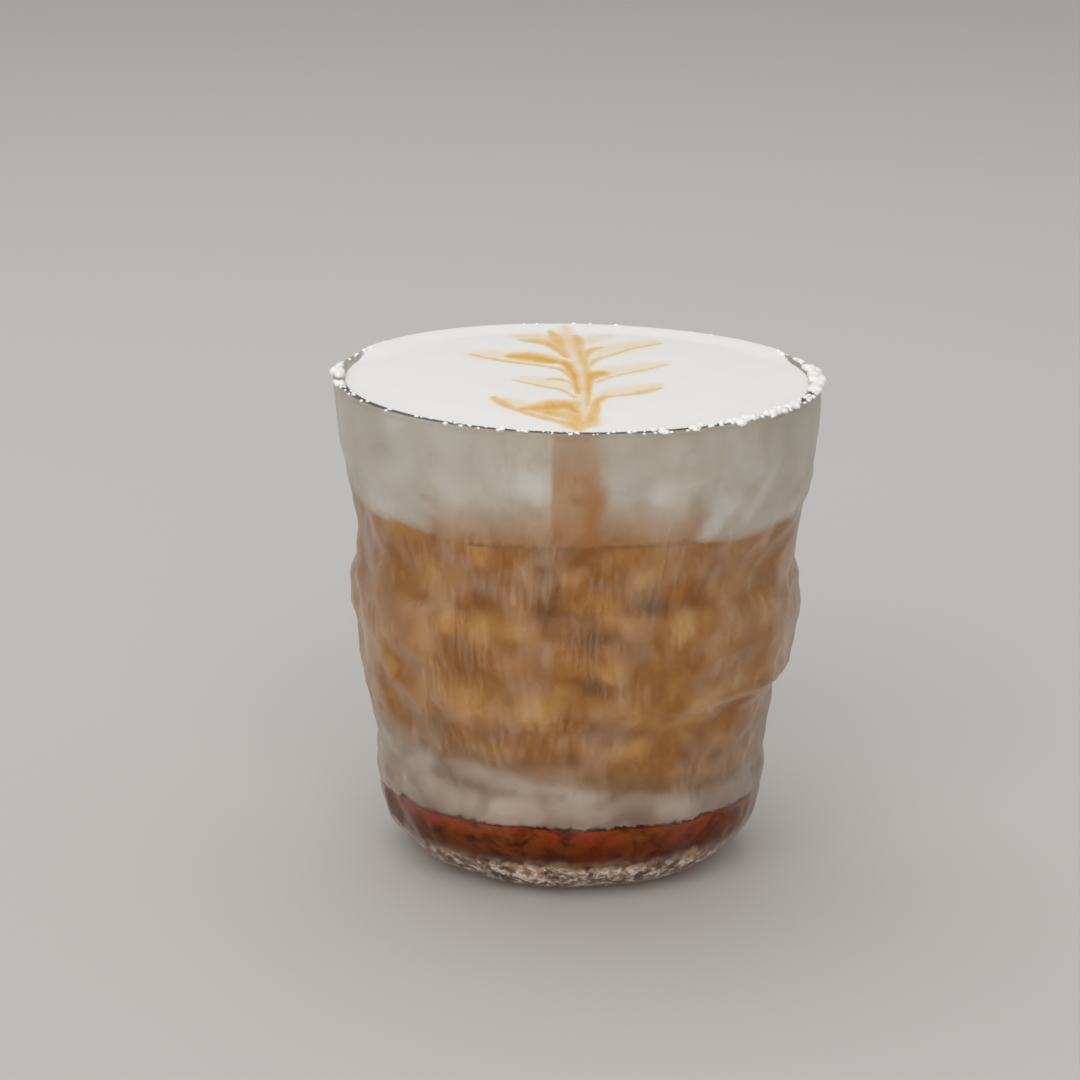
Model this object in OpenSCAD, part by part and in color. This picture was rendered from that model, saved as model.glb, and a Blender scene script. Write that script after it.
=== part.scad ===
// Layered iced latte in a hammered glass tumbler.
// Millimetres, +Z up, origin at the centre of the flat foot. The front of the drink faces -Y.

/* [Glass] */
// Height of the glass, foot to lip
glass_h = 85; // [72:1:104]
// Diameter over the lip
rim_d = 84; // [76:1:102]
// Diameter of the flat foot
foot_d = 40; // [30:1:48]
// Diameter just above the rounded heel
heel_d = 67.2; // [60:0.2:74]
// Height of the rounded heel
heel_h = 13; // [9:0.5:16]
// Thickness of the glass floor
floor_t = 6.5; // [4:0.5:9]
// Wall at the lip
lip_wall = 2.2; // [1.6:0.1:2.8]
// Wall at the shoulder, under the plain lip band
shoulder_wall = 2.8; // [2:0.1:3.6]
// Wall at the waist
waist_wall = 3; // [2.4:0.1:3.8]
// Wall just above the heel
heel_wall = 3.6; // [2.8:0.1:4.6]
// Rounding of the lip, inside and out
lip_round = 0.9; // [0.4:0.1:1]

/* [Hammering] */
// Number of hammered dents
dent_count = 118; // [60:1:180]
// Depth of the deepest dents
dent_depth = 0.85; // [0.3:0.05:1.2]
// Radius of an average dent
dent_r = 7.2; // [5:0.1:10]
// Height of the plain band under the lip
lip_band = 6; // [2:0.5:12]

/* [Drink] */
// Depth of the syrup at the middle
syrup_t = 6.9; // [4:0.1:10]
// Depth of the milk on the syrup
milk_t = 9; // [5:0.1:10]
// Depth of the coffee on the milk
coffee_t = 42.1; // [30:0.1:50]
// How far the foam's edge stays under the lip
foam_gap = 0.6; // [0.2:0.1:2]
// Rise of the foam from its edge to its crown
foam_dome = 1.3; // [0:0.1:3]
// Height of the waves where two layers meet
layer_wave = 0.5; // [0:0.1:1]
// Rise of the milk on the left of the front
milk_swell = 3.6; // [0:0.1:5]
// Dip of the milk on the right of the front
milk_dip = 3; // [0:0.1:4]

/* [Hidden] */

wall_fn = 80;                 // segments round the hammered wall
heel_rings = 6;               // rings in the rounded heel
wall_rings = 26;              // rings from the heel to the lip
layer_fn = 36;                // segments round a layer's top
layer_rings = 3;              // rings across a layer's top
foam_rings = 6;               // rings across the foam's top
foam_wave = 0.15;             // unevenness of the foam's edge
overshoot = 4;                // how far a layer's cutter reaches past the glass

rim_r = rim_d / 2;
foot_r = foot_d / 2;
heel_r = heel_d / 2;
syrup_top = floor_t + syrup_t;
milk_top = syrup_top + milk_t;
coffee_top = milk_top + coffee_t;
foam_edge = glass_h - foam_gap;

// Swell of the wall from a straight taper: [share of the height above the heel, on the -X side,
// on the +X side].
wall_swell = [
    [0.00,  0.4, -0.2], [0.06,  0.8,  0.2], [0.11,  0.0, -0.5], [0.15,  0.3, -0.5],
    [0.21,  0.8, -0.2], [0.26,  1.0, -0.6], [0.29,  1.2,  0.3], [0.32,  1.3,  1.8],
    [0.39,  1.1,  2.1], [0.44,  1.6,  2.4], [0.51,  1.1,  1.4], [0.57, -0.3,  0.0],
    [0.64, -1.2, -0.1], [0.71, -0.8,  0.5], [0.78, -0.5,  1.5], [0.85,  0.2,  1.1],
    [0.92,  0.0,  0.5], [1.00,  0.0,  0.0]
];
waist_share = 0.61;           // where the wall is drawn in most
shoulder_share = 0.85;        // where the plain band starts

function clamp(x, low, high) = min(max(x, low), high);
function ease(t) = (1 - cos(180 * clamp(t, 0, 1))) / 2;
function mix(a, b, t) = a + (b - a) * t;
function frac(x) = x - floor(x);

// ---- outer wall ----

// Value of a column of wall_swell at a share of the height, eased between its rows.
function swell_at(share, column, i = 0) =
    i >= len(wall_swell) - 2 || share <= wall_swell[i + 1][0]
        ? mix(wall_swell[i][column], wall_swell[i + 1][column],
              ease((share - wall_swell[i][0]) / (wall_swell[i + 1][0] - wall_swell[i][0])))
        : swell_at(share, column, i + 1);

function swell(share, angle) =
    mix(swell_at(share, 1), swell_at(share, 2), (1 + cos(angle)) / 2);

function share_of(z) = clamp((z - heel_h) / (glass_h - heel_h), 0, 1);

// Radius of the wall before its dents.
function wall_r(z, angle) =
    mix(heel_r, rim_r, share_of(z)) + swell(share_of(z), angle);

// Arc length of the heel, from its top to the foot.
heel_arc = PI / 2 * (heel_h + heel_r - foot_r) / 2;

// Each dent is [angle, height along the wall, radius]. The two irrational steps spread them
// evenly without a repeat, and the third makes their sizes uneven.
dent_low = heel_h - heel_arc + dent_r / 2;
dent_high = glass_h - lip_band;
dents = [
    for (k = [0 : dent_count - 1]) [
        360 * frac(k * 0.7548776662),
        mix(dent_low, dent_high, frac(k * 0.5698402910)),
        dent_r * (0.75 + 0.55 * frac(k * k * 0.6180339887))
    ]
];

function turn(a) = a - 360 * round(a / 360);

// Squared distance to the nearest dent's centre, in dent radii.
function nearest_dent(angle, s, r) =
    min([
        for (d = dents)
            (pow(r * turn(angle - d[0]) * PI / 180, 2) + pow(s - d[1], 2)) / pow(d[2], 2)
    ]);

// Dents fade out at the lip band and at the foot.
function dent_fade(s) =
    ease((glass_h - lip_band - s) / lip_band) * ease((s - heel_h + heel_arc) / 2);

function dented(r, angle, s) =
    r - dent_depth * dent_fade(s) * max(0, 1 - nearest_dent(angle, s, r));

function heel_ring(a) = [
    for (i = [0 : wall_fn - 1])
        let (angle = 360 * i / wall_fn,
             r = foot_r + (wall_r(heel_h, angle) - foot_r) * sin(a),
             s = heel_h - heel_arc * (1 - a / 90),
             q = dented(r, angle, s))
        [q * cos(angle), q * sin(angle), heel_h * (1 - cos(a))]
];

function wall_ring(z) = [
    for (i = [0 : wall_fn - 1])
        let (angle = 360 * i / wall_fn,
             q = dented(wall_r(z, angle), angle, z))
        [q * cos(angle), q * sin(angle), z]
];

function lip_ring(a) = [
    for (i = [0 : wall_fn - 1])
        let (angle = 360 * i / wall_fn,
             q = rim_r - lip_round * (1 - cos(a)))
        [q * cos(angle), q * sin(angle), glass_h - lip_round * (1 - sin(a))]
];

// A closed solid through rings of equal count, each listed anticlockwise from above.
module ring_solid(rings) {
    n = len(rings[0]);
    m = len(rings);
    polyhedron(
        points = [for (ring = rings) each ring],
        faces = concat(
            [[for (i = [0 : n - 1]) i]],
            [for (j = [0 : m - 2], i = [0 : n - 1])
                [j * n + i, (j + 1) * n + i, (j + 1) * n + (i + 1) % n]],
            [for (j = [0 : m - 2], i = [0 : n - 1])
                [j * n + i, (j + 1) * n + (i + 1) % n, j * n + (i + 1) % n]],
            [[for (i = [n - 1 : -1 : 0]) (m - 1) * n + i]]
        ),
        convexity = 6
    );
}

module outer_wall() {
    lip_foot = glass_h - lip_round;
    ring_solid(concat(
        [for (k = [0 : heel_rings - 1]) heel_ring(90 * k / heel_rings)],
        [for (k = [0 : wall_rings]) wall_ring(mix(heel_h, lip_foot, k / wall_rings))],
        [for (a = [30 : 30 : 90]) lip_ring(a)]
    ));
}

// ---- inside of the glass ----

function narrow_r(share) =
    mix(heel_r, rim_r, share) + min(swell_at(share, 1), swell_at(share, 2));

function height_of(share) = mix(heel_h, glass_h, share);

// The inner wall eases between these stations: [height, radius].
inner_stations = [
    [floor_t + heel_h, narrow_r(0.06) - heel_wall],
    [height_of(waist_share), narrow_r(waist_share) - waist_wall],
    [height_of(shoulder_share), narrow_r(shoulder_share) - shoulder_wall],
    [glass_h, rim_r - lip_wall]
];

function inner_r(z, i = 0) =
    i >= len(inner_stations) - 2 || z <= inner_stations[i + 1][0]
        ? mix(inner_stations[i][1], inner_stations[i + 1][1],
              clamp((z - inner_stations[i][0]) / (inner_stations[i + 1][0] - inner_stations[i][0]),
                    0, 1))
        : inner_r(z, i + 1);

// The space inside the glass, open through the lip.
module cavity() {
    inner_heel = inner_stations[0];
    inner_floor_r = foot_r - heel_wall + 1;
    lip_inner = inner_r(glass_h - lip_round);
    rotate_extrude($fn = 180)
        polygon(concat(
            [[0, floor_t]],
            [for (a = [0 : 15 : 90])
                [inner_floor_r + (inner_heel[1] - inner_floor_r) * sin(a),
                 floor_t + heel_h * (1 - cos(a))]],
            [for (i = [1, 2]) [inner_stations[i][1], inner_stations[i][0]]],
            [for (a = [0 : 30 : 90])
                [lip_inner + lip_round * (1 - cos(a)), glass_h - lip_round * (1 - sin(a))]],
            [[lip_inner + lip_round, glass_h + overshoot], [0, glass_h + overshoot]]
        ));
}

module tumbler() {
    color("gainsboro", 0.4)
        difference() {
            outer_wall();
            cavity();
        }
}

// ---- drink ----

// Height of the top of each layer at an angle and a share of the inner radius. The waves die
// out towards the middle, where the layers are level.
wave = function(angle, turns, shift)
    sin(turns * angle + shift) + 0.5 * sin(2 * turns * angle);
glass_floor = function(angle, t) 0;
syrup_level = function(angle, t) syrup_top + layer_wave * t * t * wave(angle, 3, 20) / 2;
milk_level = function(angle, t)
    milk_top + layer_wave * t * t * wave(angle, 4, 70) / 2
    + milk_swell * t * t * pow(max(0, cos(angle + 140)), 2)
    - milk_dip * t * t * pow(max(0, cos(angle + 42)), 2);
coffee_level = function(angle, t) coffee_top + layer_wave * t * t * wave(angle, 5, 130);
foam_level = function(angle, t)
    foam_edge + foam_dome * (1 - pow(t, 4)) + foam_wave * t * t * sin(3 * angle + 40);

// One level as points: its middle, then rings out past the glass.
function level_points(level, rings) = concat(
    [[0, 0, level(0, 0)]],
    [for (j = [1 : rings], i = [0 : layer_fn - 1])
        let (angle = 360 * i / layer_fn,
             r = j / rings * (rim_r + overshoot))
        [r * cos(angle), r * sin(angle), level(angle, min(1, r / (rim_r - lip_wall)))]]
);

// Triangles over a level whose points start at base, seen from above.
function level_faces(base, rings) = concat(
    [for (i = [0 : layer_fn - 1]) [base, base + 1 + (i + 1) % layer_fn, base + 1 + i]],
    [for (j = [0 : rings - 2], i = [0 : layer_fn - 1])
        let (a = base + 1 + j * layer_fn + i,
             b = base + 1 + j * layer_fn + (i + 1) % layer_fn)
        each [[a, b, b + layer_fn], [a, b + layer_fn, a + layer_fn]]]
);

function flip(faces) = [for (f = faces) [f[2], f[1], f[0]]];

// The part of the cavity between two levels.
module layer(low, low_rings, high, high_rings) {
    low_points = level_points(low, low_rings);
    high_points = level_points(high, high_rings);
    high_base = len(low_points);
    low_edge = high_base - layer_fn;
    high_edge = high_base + len(high_points) - layer_fn;
    intersection() {
        cavity();
        polyhedron(
            points = concat(low_points, high_points),
            faces = concat(
                flip(level_faces(0, low_rings)),
                level_faces(high_base, high_rings),
                [for (i = [0 : layer_fn - 1])
                    let (next = (i + 1) % layer_fn)
                    each [[low_edge + i, high_edge + i, high_edge + next],
                          [low_edge + i, high_edge + next, low_edge + next]]]
            ),
            convexity = 6
        );
    }
}

module syrup() {
    color([0.48, 0.17, 0.03])
        layer(glass_floor, layer_rings, syrup_level, layer_rings);
}

module milk() {
    color([0.66, 0.59, 0.55])
        layer(syrup_level, layer_rings, milk_level, layer_rings);
}

module coffee() {
    color([0.62, 0.43, 0.24])
        layer(milk_level, layer_rings, coffee_level, layer_rings);
}

module foam() {
    color([0.93, 0.92, 0.89])
        layer(coffee_level, layer_rings, foam_level, foam_rings);
}

tumbler();
syrup();
milk();
coffee();
foam();
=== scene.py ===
"""A layered iced latte in a hammered glass tumbler, with a caramel feather drawn on its foam."""

import math
import random

import bmesh
import bpy
import numpy as np
from bpy.props import FloatProperty, FloatVectorProperty, IntProperty, PointerProperty
from mathutils import Matrix, Vector
from mathutils.bvhtree import BVHTree


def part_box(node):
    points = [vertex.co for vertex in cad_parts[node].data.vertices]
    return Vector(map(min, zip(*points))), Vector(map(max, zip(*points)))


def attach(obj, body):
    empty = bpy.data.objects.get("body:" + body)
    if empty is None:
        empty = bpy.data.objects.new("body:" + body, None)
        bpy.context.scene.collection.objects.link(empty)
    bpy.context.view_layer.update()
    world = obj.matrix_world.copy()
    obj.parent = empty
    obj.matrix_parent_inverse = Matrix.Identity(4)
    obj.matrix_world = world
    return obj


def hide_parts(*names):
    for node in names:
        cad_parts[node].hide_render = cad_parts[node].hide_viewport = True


bl_info = {
    "name": "Layered Iced Latte",
    "version": (1, 0, 0),
    "blender": (4, 5, 0),
    "location": "3D View > Sidebar > Latte",
    "description": "Builds an iced latte in a hammered tumbler around its fixed frame",
    "category": "Add Mesh",
}

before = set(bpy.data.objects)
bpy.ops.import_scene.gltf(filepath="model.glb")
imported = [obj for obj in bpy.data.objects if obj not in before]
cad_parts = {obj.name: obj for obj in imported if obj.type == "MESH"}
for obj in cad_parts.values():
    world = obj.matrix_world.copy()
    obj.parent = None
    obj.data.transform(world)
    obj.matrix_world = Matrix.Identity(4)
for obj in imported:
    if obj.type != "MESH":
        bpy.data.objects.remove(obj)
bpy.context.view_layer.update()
MM = 0.001

# ---- sizes that come from the frame, in millimetres ----

TUMBLER_LOW, TUMBLER_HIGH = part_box("tumbler")
GLASS_HEIGHT = TUMBLER_HIGH.z / MM
FLOOR_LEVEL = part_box("syrup")[0].z / MM
LIP_RADIUS = (TUMBLER_HIGH.x - TUMBLER_LOW.x) / 2 / MM

# ---- sizes that the frame's boxes don't tell, in millimetres; they repeat the construction's ----

FOOT_RADIUS = 20.0
HEEL_RADIUS = 33.6
HEEL_HEIGHT = 13.0
LIP_WALL = 2.2
LIP_ROUND = 0.9
LIP_BAND = 6.0
SYRUP_DEPTH = 6.9
MILK_DEPTH = 9.0
COFFEE_DEPTH = 42.1
FOAM_GAP = 0.6
FOAM_DOME = 1.3
LAYER_WAVE = 0.5
SYRUP_TOP = FLOOR_LEVEL + SYRUP_DEPTH
MILK_TOP = SYRUP_TOP + MILK_DEPTH
COFFEE_TOP = MILK_TOP + COFFEE_DEPTH
FOAM_EDGE = GLASS_HEIGHT - FOAM_GAP

# How far a layer of the drink reaches into the wall, so that no air shows between them.
WALL_BITE = 0.25

# Swell of the wall from a straight taper: share of the height above the heel, on the -X side, on
# the +X side.
WALL_SWELL = (
    (0.00, 0.4, -0.2), (0.06, 0.8, 0.2), (0.11, 0.0, -0.5), (0.15, 0.3, -0.5),
    (0.21, 0.8, -0.2), (0.26, 1.0, -0.6), (0.29, 1.2, 0.3), (0.32, 1.3, 1.8),
    (0.39, 1.1, 2.1), (0.44, 1.6, 2.4), (0.51, 1.1, 1.4), (0.57, -0.3, 0.0),
    (0.64, -1.2, -0.1), (0.71, -0.8, 0.5), (0.78, -0.5, 1.5), (0.85, 0.2, 1.1),
    (0.92, 0.0, 0.5), (1.00, 0.0, 0.0),
)

# ---- colours, as sRGB hex ----

GLASS_TINT = "#F8F1E4"
# The heel's red-brown is a painted refraction of the dark seen through the thick base.
HEEL_WARM = "#B8662F"
HEEL_AMBER = "#F0CDA0"
# The lip's inner edge is painted this dark grey-brown at the front.
LIP_DARK = "#4E4238"
SYRUP_RED = "#D04A06"
SYRUP_AMBER = "#BC6612"
SYRUP_DARK = "#4E2204"
MILK_WHITE = "#E3D2C8"
MILK_SHADE = "#B79E8D"
COFFEE_EDGE = "#AE8763"
COFFEE_LIGHT = "#EAB870"
COFFEE_TAN = "#C28640"
COFFEE_DARK = "#875418"
FOAM_WHITE = "#EFEEEA"
FOAM_SIDE = "#E1DCD4"
# Painted light: bluish-white patches on the foam behind the glass.
FOAM_LIGHT = "#F6F9FF"
FOAM_HAZE = "#C8924F"
FOAM_LINE = "#A87440"
STREAK_BROWN = "#CC8F4A"
CARAMEL_PEACH = "#F0E2CC"
CARAMEL_TAN = "#E8CFA4"
CARAMEL = "#E9C17C"
CARAMEL_DEEP = "#E2AC54"
FLECK_SHADE = "#EDEBE5"
FLECK_WHITE = "#FFFFFF"
FLOOR_PALE = "#C9C7C3"


def linear(code, alpha=None):
    """An sRGB hex colour as linear light, with an alpha if one is asked for."""
    channels = [int(code[i:i + 2], 16) / 255 for i in (1, 3, 5)]
    light = [c / 12.92 if c <= 0.04045 else ((c + 0.055) / 1.055) ** 2.4 for c in channels]
    return (*light, alpha) if alpha is not None else tuple(light)


# ---- settings that a user would change ----


class LatteGlassSettings(bpy.types.PropertyGroup):
    """The hammered tumbler."""

    dent_count: IntProperty(
        name="Dents", description="Number of large hammered dents", default=118, min=0, max=180)
    dent_depth: FloatProperty(
        name="Dent depth", description="Depth of the large dents, in millimetres",
        default=0.85, min=0.0, max=1.2)
    dent_radius: FloatProperty(
        name="Dent radius", description="Radius of an average large dent, in millimetres",
        default=7.2, min=5.0, max=10.0)
    ripple_depth: FloatProperty(
        name="Ripple depth", description="Depth of the small dents over them, in millimetres",
        default=0.26, min=0.0, max=0.4)
    frost: FloatProperty(
        name="Frost", description="Roughness of the frosted outer face",
        default=0.36, min=0.0, max=1.0, subtype="FACTOR")
    veil: FloatProperty(
        name="Veil", description="How far the frost hides what is behind it",
        default=0.01, min=0.0, max=1.0, subtype="FACTOR")
    tint: FloatVectorProperty(
        name="Glass tint", description="Colour of the glass", subtype="COLOR",
        default=linear(GLASS_TINT), min=0.0, max=1.0)


class LatteDrinkSettings(bpy.types.PropertyGroup):
    """The syrup, milk and coffee."""

    milk_swell: FloatProperty(
        name="Milk swell", description="Rise of the milk on the left, in millimetres",
        default=3.6, min=0.0, max=5.0)
    milk_dip: FloatProperty(
        name="Milk dip", description="Dip of the milk on the right, in millimetres",
        default=3.0, min=0.0, max=4.0)
    milk: FloatVectorProperty(
        name="Milk", description="Colour of the milk", subtype="COLOR",
        default=linear(MILK_WHITE), min=0.0, max=1.0)
    coffee: FloatVectorProperty(
        name="Coffee", description="Middle colour of the coffee", subtype="COLOR",
        default=linear(COFFEE_TAN), min=0.0, max=1.0)
    syrup: FloatVectorProperty(
        name="Syrup", description="Colour of the syrup near its top", subtype="COLOR",
        default=linear(SYRUP_RED), min=0.0, max=1.0)
    gleam_seed: IntProperty(
        name="Gleam seed", description="Seed for the light patches round the back", default=3,
        min=0)


class LatteFoamSettings(bpy.types.PropertyGroup):
    """The foam, its feather and the flecks on the lip."""

    foam: FloatVectorProperty(
        name="Foam", description="Colour of the foam's top", subtype="COLOR",
        default=linear(FOAM_WHITE), min=0.0, max=1.0)
    caramel: FloatVectorProperty(
        name="Caramel", description="Colour of the feather's strokes", subtype="COLOR",
        default=linear(CARAMEL), min=0.0, max=1.0)
    groove: FloatProperty(
        name="Groove", description="Depth of the drawn strokes, in millimetres",
        default=0.12, min=0.0, max=0.8)
    fleck_seed: IntProperty(
        name="Fleck seed", description="Seed for the flecks on the lip", default=7, min=0)


class LatteStageSettings(bpy.types.PropertyGroup):
    """The floor, the lights and the camera."""

    floor: FloatVectorProperty(
        name="Floor", description="Colour of the floor", subtype="COLOR",
        default=linear(FLOOR_PALE), min=0.0, max=1.0)
    key_power: FloatProperty(
        name="Key light", description="Power of the soft light overhead, in watts",
        default=2.85, min=0.0)
    fill_power: FloatProperty(
        name="Fill light", description="Power of the soft light in front, in watts",
        default=34.0, min=0.0)
    room: FloatProperty(
        name="Room light", description="Strength of the light from all round",
        default=0.45, min=0.0)


# ---- materials ----


def add(tree, kind, values=None, ramp=None, out=0, **settings):
    """Adds one shader node and returns the output that out names, if it has any.

    values sets its inputs, or joins them where a value is a socket. ramp gives a colour ramp's
    stops, its two ends first.
    """
    node = tree.nodes.new("ShaderNode" + kind)
    for name, value in settings.items():
        setattr(node, name, value)
    for key, value in (values or {}).items():
        if isinstance(value, bpy.types.NodeSocket):
            tree.links.new(value, node.inputs[key])
        else:
            node.inputs[key].default_value = value
    for i, (place, colour) in enumerate(ramp or ()):
        stops = node.color_ramp.elements
        stop = stops[i] if i < 2 else stops.new(place)
        stop.position = place
        stop.color = colour
    return node.outputs[out] if node.outputs else None


def new_material(name):
    """An empty material, its tree and each point's place on the object."""
    material = bpy.data.materials.new(name)
    material.use_nodes = True
    material.node_tree.nodes.clear()
    place = add(material.node_tree, "TexCoord", out="Object")
    return material, material.node_tree, place


def shaded(material, values):
    """The material with its shader, whose inputs are set or joined as values says."""
    shader = add(material.node_tree, "BsdfPrincipled", values)
    add(material.node_tree, "OutputMaterial", {"Surface": shader})
    return material


# How far the frost hides what is behind it: where the glass is seen edge on, and in the fine
# upright streaks that it is combed into. The white on the ridges between dents is partly frost and
# partly a painted highlight; the white clumps round the heel are partly frost and partly painted
# glints.
EDGE_VEIL = 0.26
RIDGE_FROST_AND_HIGHLIGHT = 0.07
HEEL_FROST_AND_GLINTS = 0.66
COMBED_VEIL = 0.08
# The heel's share of the wall's roughness.
HEEL_FROST = 0.4


def heel_frost_and_glints(tree, place):
    """How far a point lies on the heel, and how thick its white clumps are there, partly frost and
    partly painted glints.
    """
    clump = add(tree, "TexNoise", {
        "Vector": place, "Scale": 1 / (1.6 * MM), "Detail": 5.0, "Roughness": 0.7})
    clump = add(tree, "MapRange", {0: clump, 1: 0.36, 2: 0.6})
    heel = add(tree, "Attribute", out="Fac", attribute_name="heel")
    frost_and_glints = add(tree, "Math", {0: clump, 1: heel}, operation="MULTIPLY")
    return heel, frost_and_glints


def frost_veil(tree, place, wall, cloud, frost_and_glints, settings):
    """How far the frost hides what is behind it, with a painted highlight on the ridges and painted
    glints in the heel's clumps.
    """
    edge = add(tree, "LayerWeight", {"Blend": 0.3}, out="Facing")
    veil = add(tree, "MapRange", {0: edge, 1: 0.3, 2: 0.9, 3: settings.veil, 4: EDGE_VEIL})
    veil = add(tree, "Math", {0: veil, 1: wall}, operation="MULTIPLY")
    ridge = add(tree, "Attribute", out="Fac", attribute_name="ridge")
    # Painted highlight, partly frost: the ridges between dents are paled so that they read as
    # bright.
    veil = add(tree, "Math", {0: ridge, 1: RIDGE_FROST_AND_HIGHLIGHT, 2: veil}, operation="MULTIPLY_ADD")
    combed = add(tree, "Mapping", {"Vector": place, "Scale": (1, 1, 0.16)})
    combed = add(tree, "TexNoise", {"Vector": combed, "Scale": 1 / (0.8 * MM), "Detail": 3.0})
    combed = add(tree, "MapRange", {0: combed, 1: 0.42, 2: 0.68})
    patch = add(tree, "MapRange", {0: cloud, 1: 0.4, 2: 0.6, 4: COMBED_VEIL})
    combed = add(tree, "Math", {0: combed, 1: patch}, operation="MULTIPLY")
    veil = add(tree, "Math", {0: combed, 1: wall, 2: veil}, operation="MULTIPLY_ADD")
    # Painted glints, partly frost: the heel's clumps are turned white.
    return add(tree, "Math", {0: frost_and_glints, 1: HEEL_FROST_AND_GLINTS, 2: veil},
               operation="MULTIPLY_ADD", use_clamp=True)


def glass_colour(tree, heel, frost_and_glints, settings):
    """The glass's tint: amber beside the syrup, plain in the heel's clumps, a painted red-brown
    refraction between them, and painted darker at the lip's inner edge.
    """
    amber, lip = (add(tree, "Attribute", out="Fac", attribute_name=name)
                  for name in ("amber", "lip"))
    bare = add(tree, "Math", {0: heel, 1: frost_and_glints}, operation="SUBTRACT")
    tint = plain = (*settings.tint, 1)
    # Between the heel's clumps the tint is a painted red-brown refraction, and the lip's inner edge
    # is painted darker.
    for share, coat in ((amber, linear(HEEL_AMBER, 1)), (frost_and_glints, plain),
                        (bare, linear(HEEL_WARM, 1)), (lip, linear(LIP_DARK, 1))):
        tint = add(tree, "Mix", {0: share, 6: tint, 7: coat}, data_type="RGBA", out=2)
    return tint


def frosted_glass(settings):
    # Soda-lime glass pressed in a hammered mould, then acid frosted: clear within, with a satin
    # bloom outside that blurs what is behind it and pales where it is seen edge on. The white
    # clumps round the heel are partly frost and partly painted glints, with a painted red-brown
    # refraction between them; the ridges between dents carry a painted highlight, and the lip's
    # inner edge is painted darker at the front.
    material, tree, place = new_material("frosted_soda_lime_glass")
    # The real grain of about 0.05 mm is too fine to show, so it is drawn ten times as coarse.
    grain = add(tree, "Mapping", {"Vector": place, "Scale": (1, 1, 0.25)})
    grain = add(tree, "TexNoise", {"Vector": grain, "Scale": 1 / (0.5 * MM), "Detail": 3.0})
    bump = add(tree, "Bump", {"Strength": 0.3, "Distance": 0.05 * MM, "Height": grain})
    cloud = add(tree, "TexNoise", {"Vector": place, "Scale": 1 / (9 * MM), "Detail": 2.0})
    rough = add(tree, "MapRange", {
        0: cloud, 1: 0.35, 2: 0.65, 3: settings.frost * 0.9, 4: settings.frost * 1.3})
    # The heel is clearer between its clumps than the wall is.
    wall = add(tree, "Attribute", out="Fac", attribute_name="wall")
    share = add(tree, "MapRange", {0: wall, 3: HEEL_FROST, 4: 1.0})
    rough = add(tree, "Math", {0: rough, 1: share}, operation="MULTIPLY")
    heel, frost_and_glints = heel_frost_and_glints(tree, place)
    veil = frost_veil(tree, place, wall, cloud, frost_and_glints, settings)
    clear = add(tree, "Math", {0: 1.0, 1: veil}, operation="SUBTRACT")
    # Frost breaks up the surface's reflection, so it gives back about a tenth of what clear glass
    # would.
    return shaded(material, {
        "Base Color": glass_colour(tree, heel, frost_and_glints, settings), "Roughness": rough,
        "Transmission Weight": clear, "Normal": bump, "IOR": 1.5, "Specular IOR Level": 0.15,
        "Specular Tint": (0.35, 0.35, 0.35, 1)})


# The drink touches the glass, whose IOR is close to its own, so almost nothing is reflected there.
WETTED = 0.08


def syrup_material(settings):
    # Brown sugar and fruit syrup: clear and dark, painted red where light comes through its upper
    # edge and amber lower down, and mottled darker in soft patches.
    material, tree, place = new_material("dark_sugar_syrup")
    rise = add(tree, "Attribute", out="Fac", attribute_name="rise")
    level = add(tree, "MapRange", {0: rise, 2: SYRUP_DEPTH * MM})
    drift = add(tree, "TexNoise", {"Vector": place, "Scale": 1 / (8 * MM), "Detail": 4.0})
    drift = add(tree, "MapRange", {0: drift, 1: 0.35, 2: 0.65, 3: -0.6, 4: 0.3})
    level = add(tree, "Math", {0: level, 1: drift}, operation="ADD")
    # Painted light: red near the top where light comes through, amber lower down.
    hue = add(tree, "ValToRGB", {0: level}, ramp=(
        (0.15, linear(SYRUP_AMBER, 1)), (0.85, (*settings.syrup, 1))))
    cloud = add(tree, "TexNoise", {
        "Vector": place, "Scale": 1 / (3.5 * MM), "Detail": 5.0, "Roughness": 0.7})
    dark = add(tree, "MapRange", {0: cloud, 1: 0.46, 2: 0.64, 4: 0.85})
    body = add(tree, "Mix", {0: dark, 6: hue, 7: linear(SYRUP_DARK, 1)}, data_type="RGBA", out=2)
    return shaded(material, {
        "Base Color": body, "Roughness": 0.25, "IOR": 1.45, "Specular IOR Level": WETTED})


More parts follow.
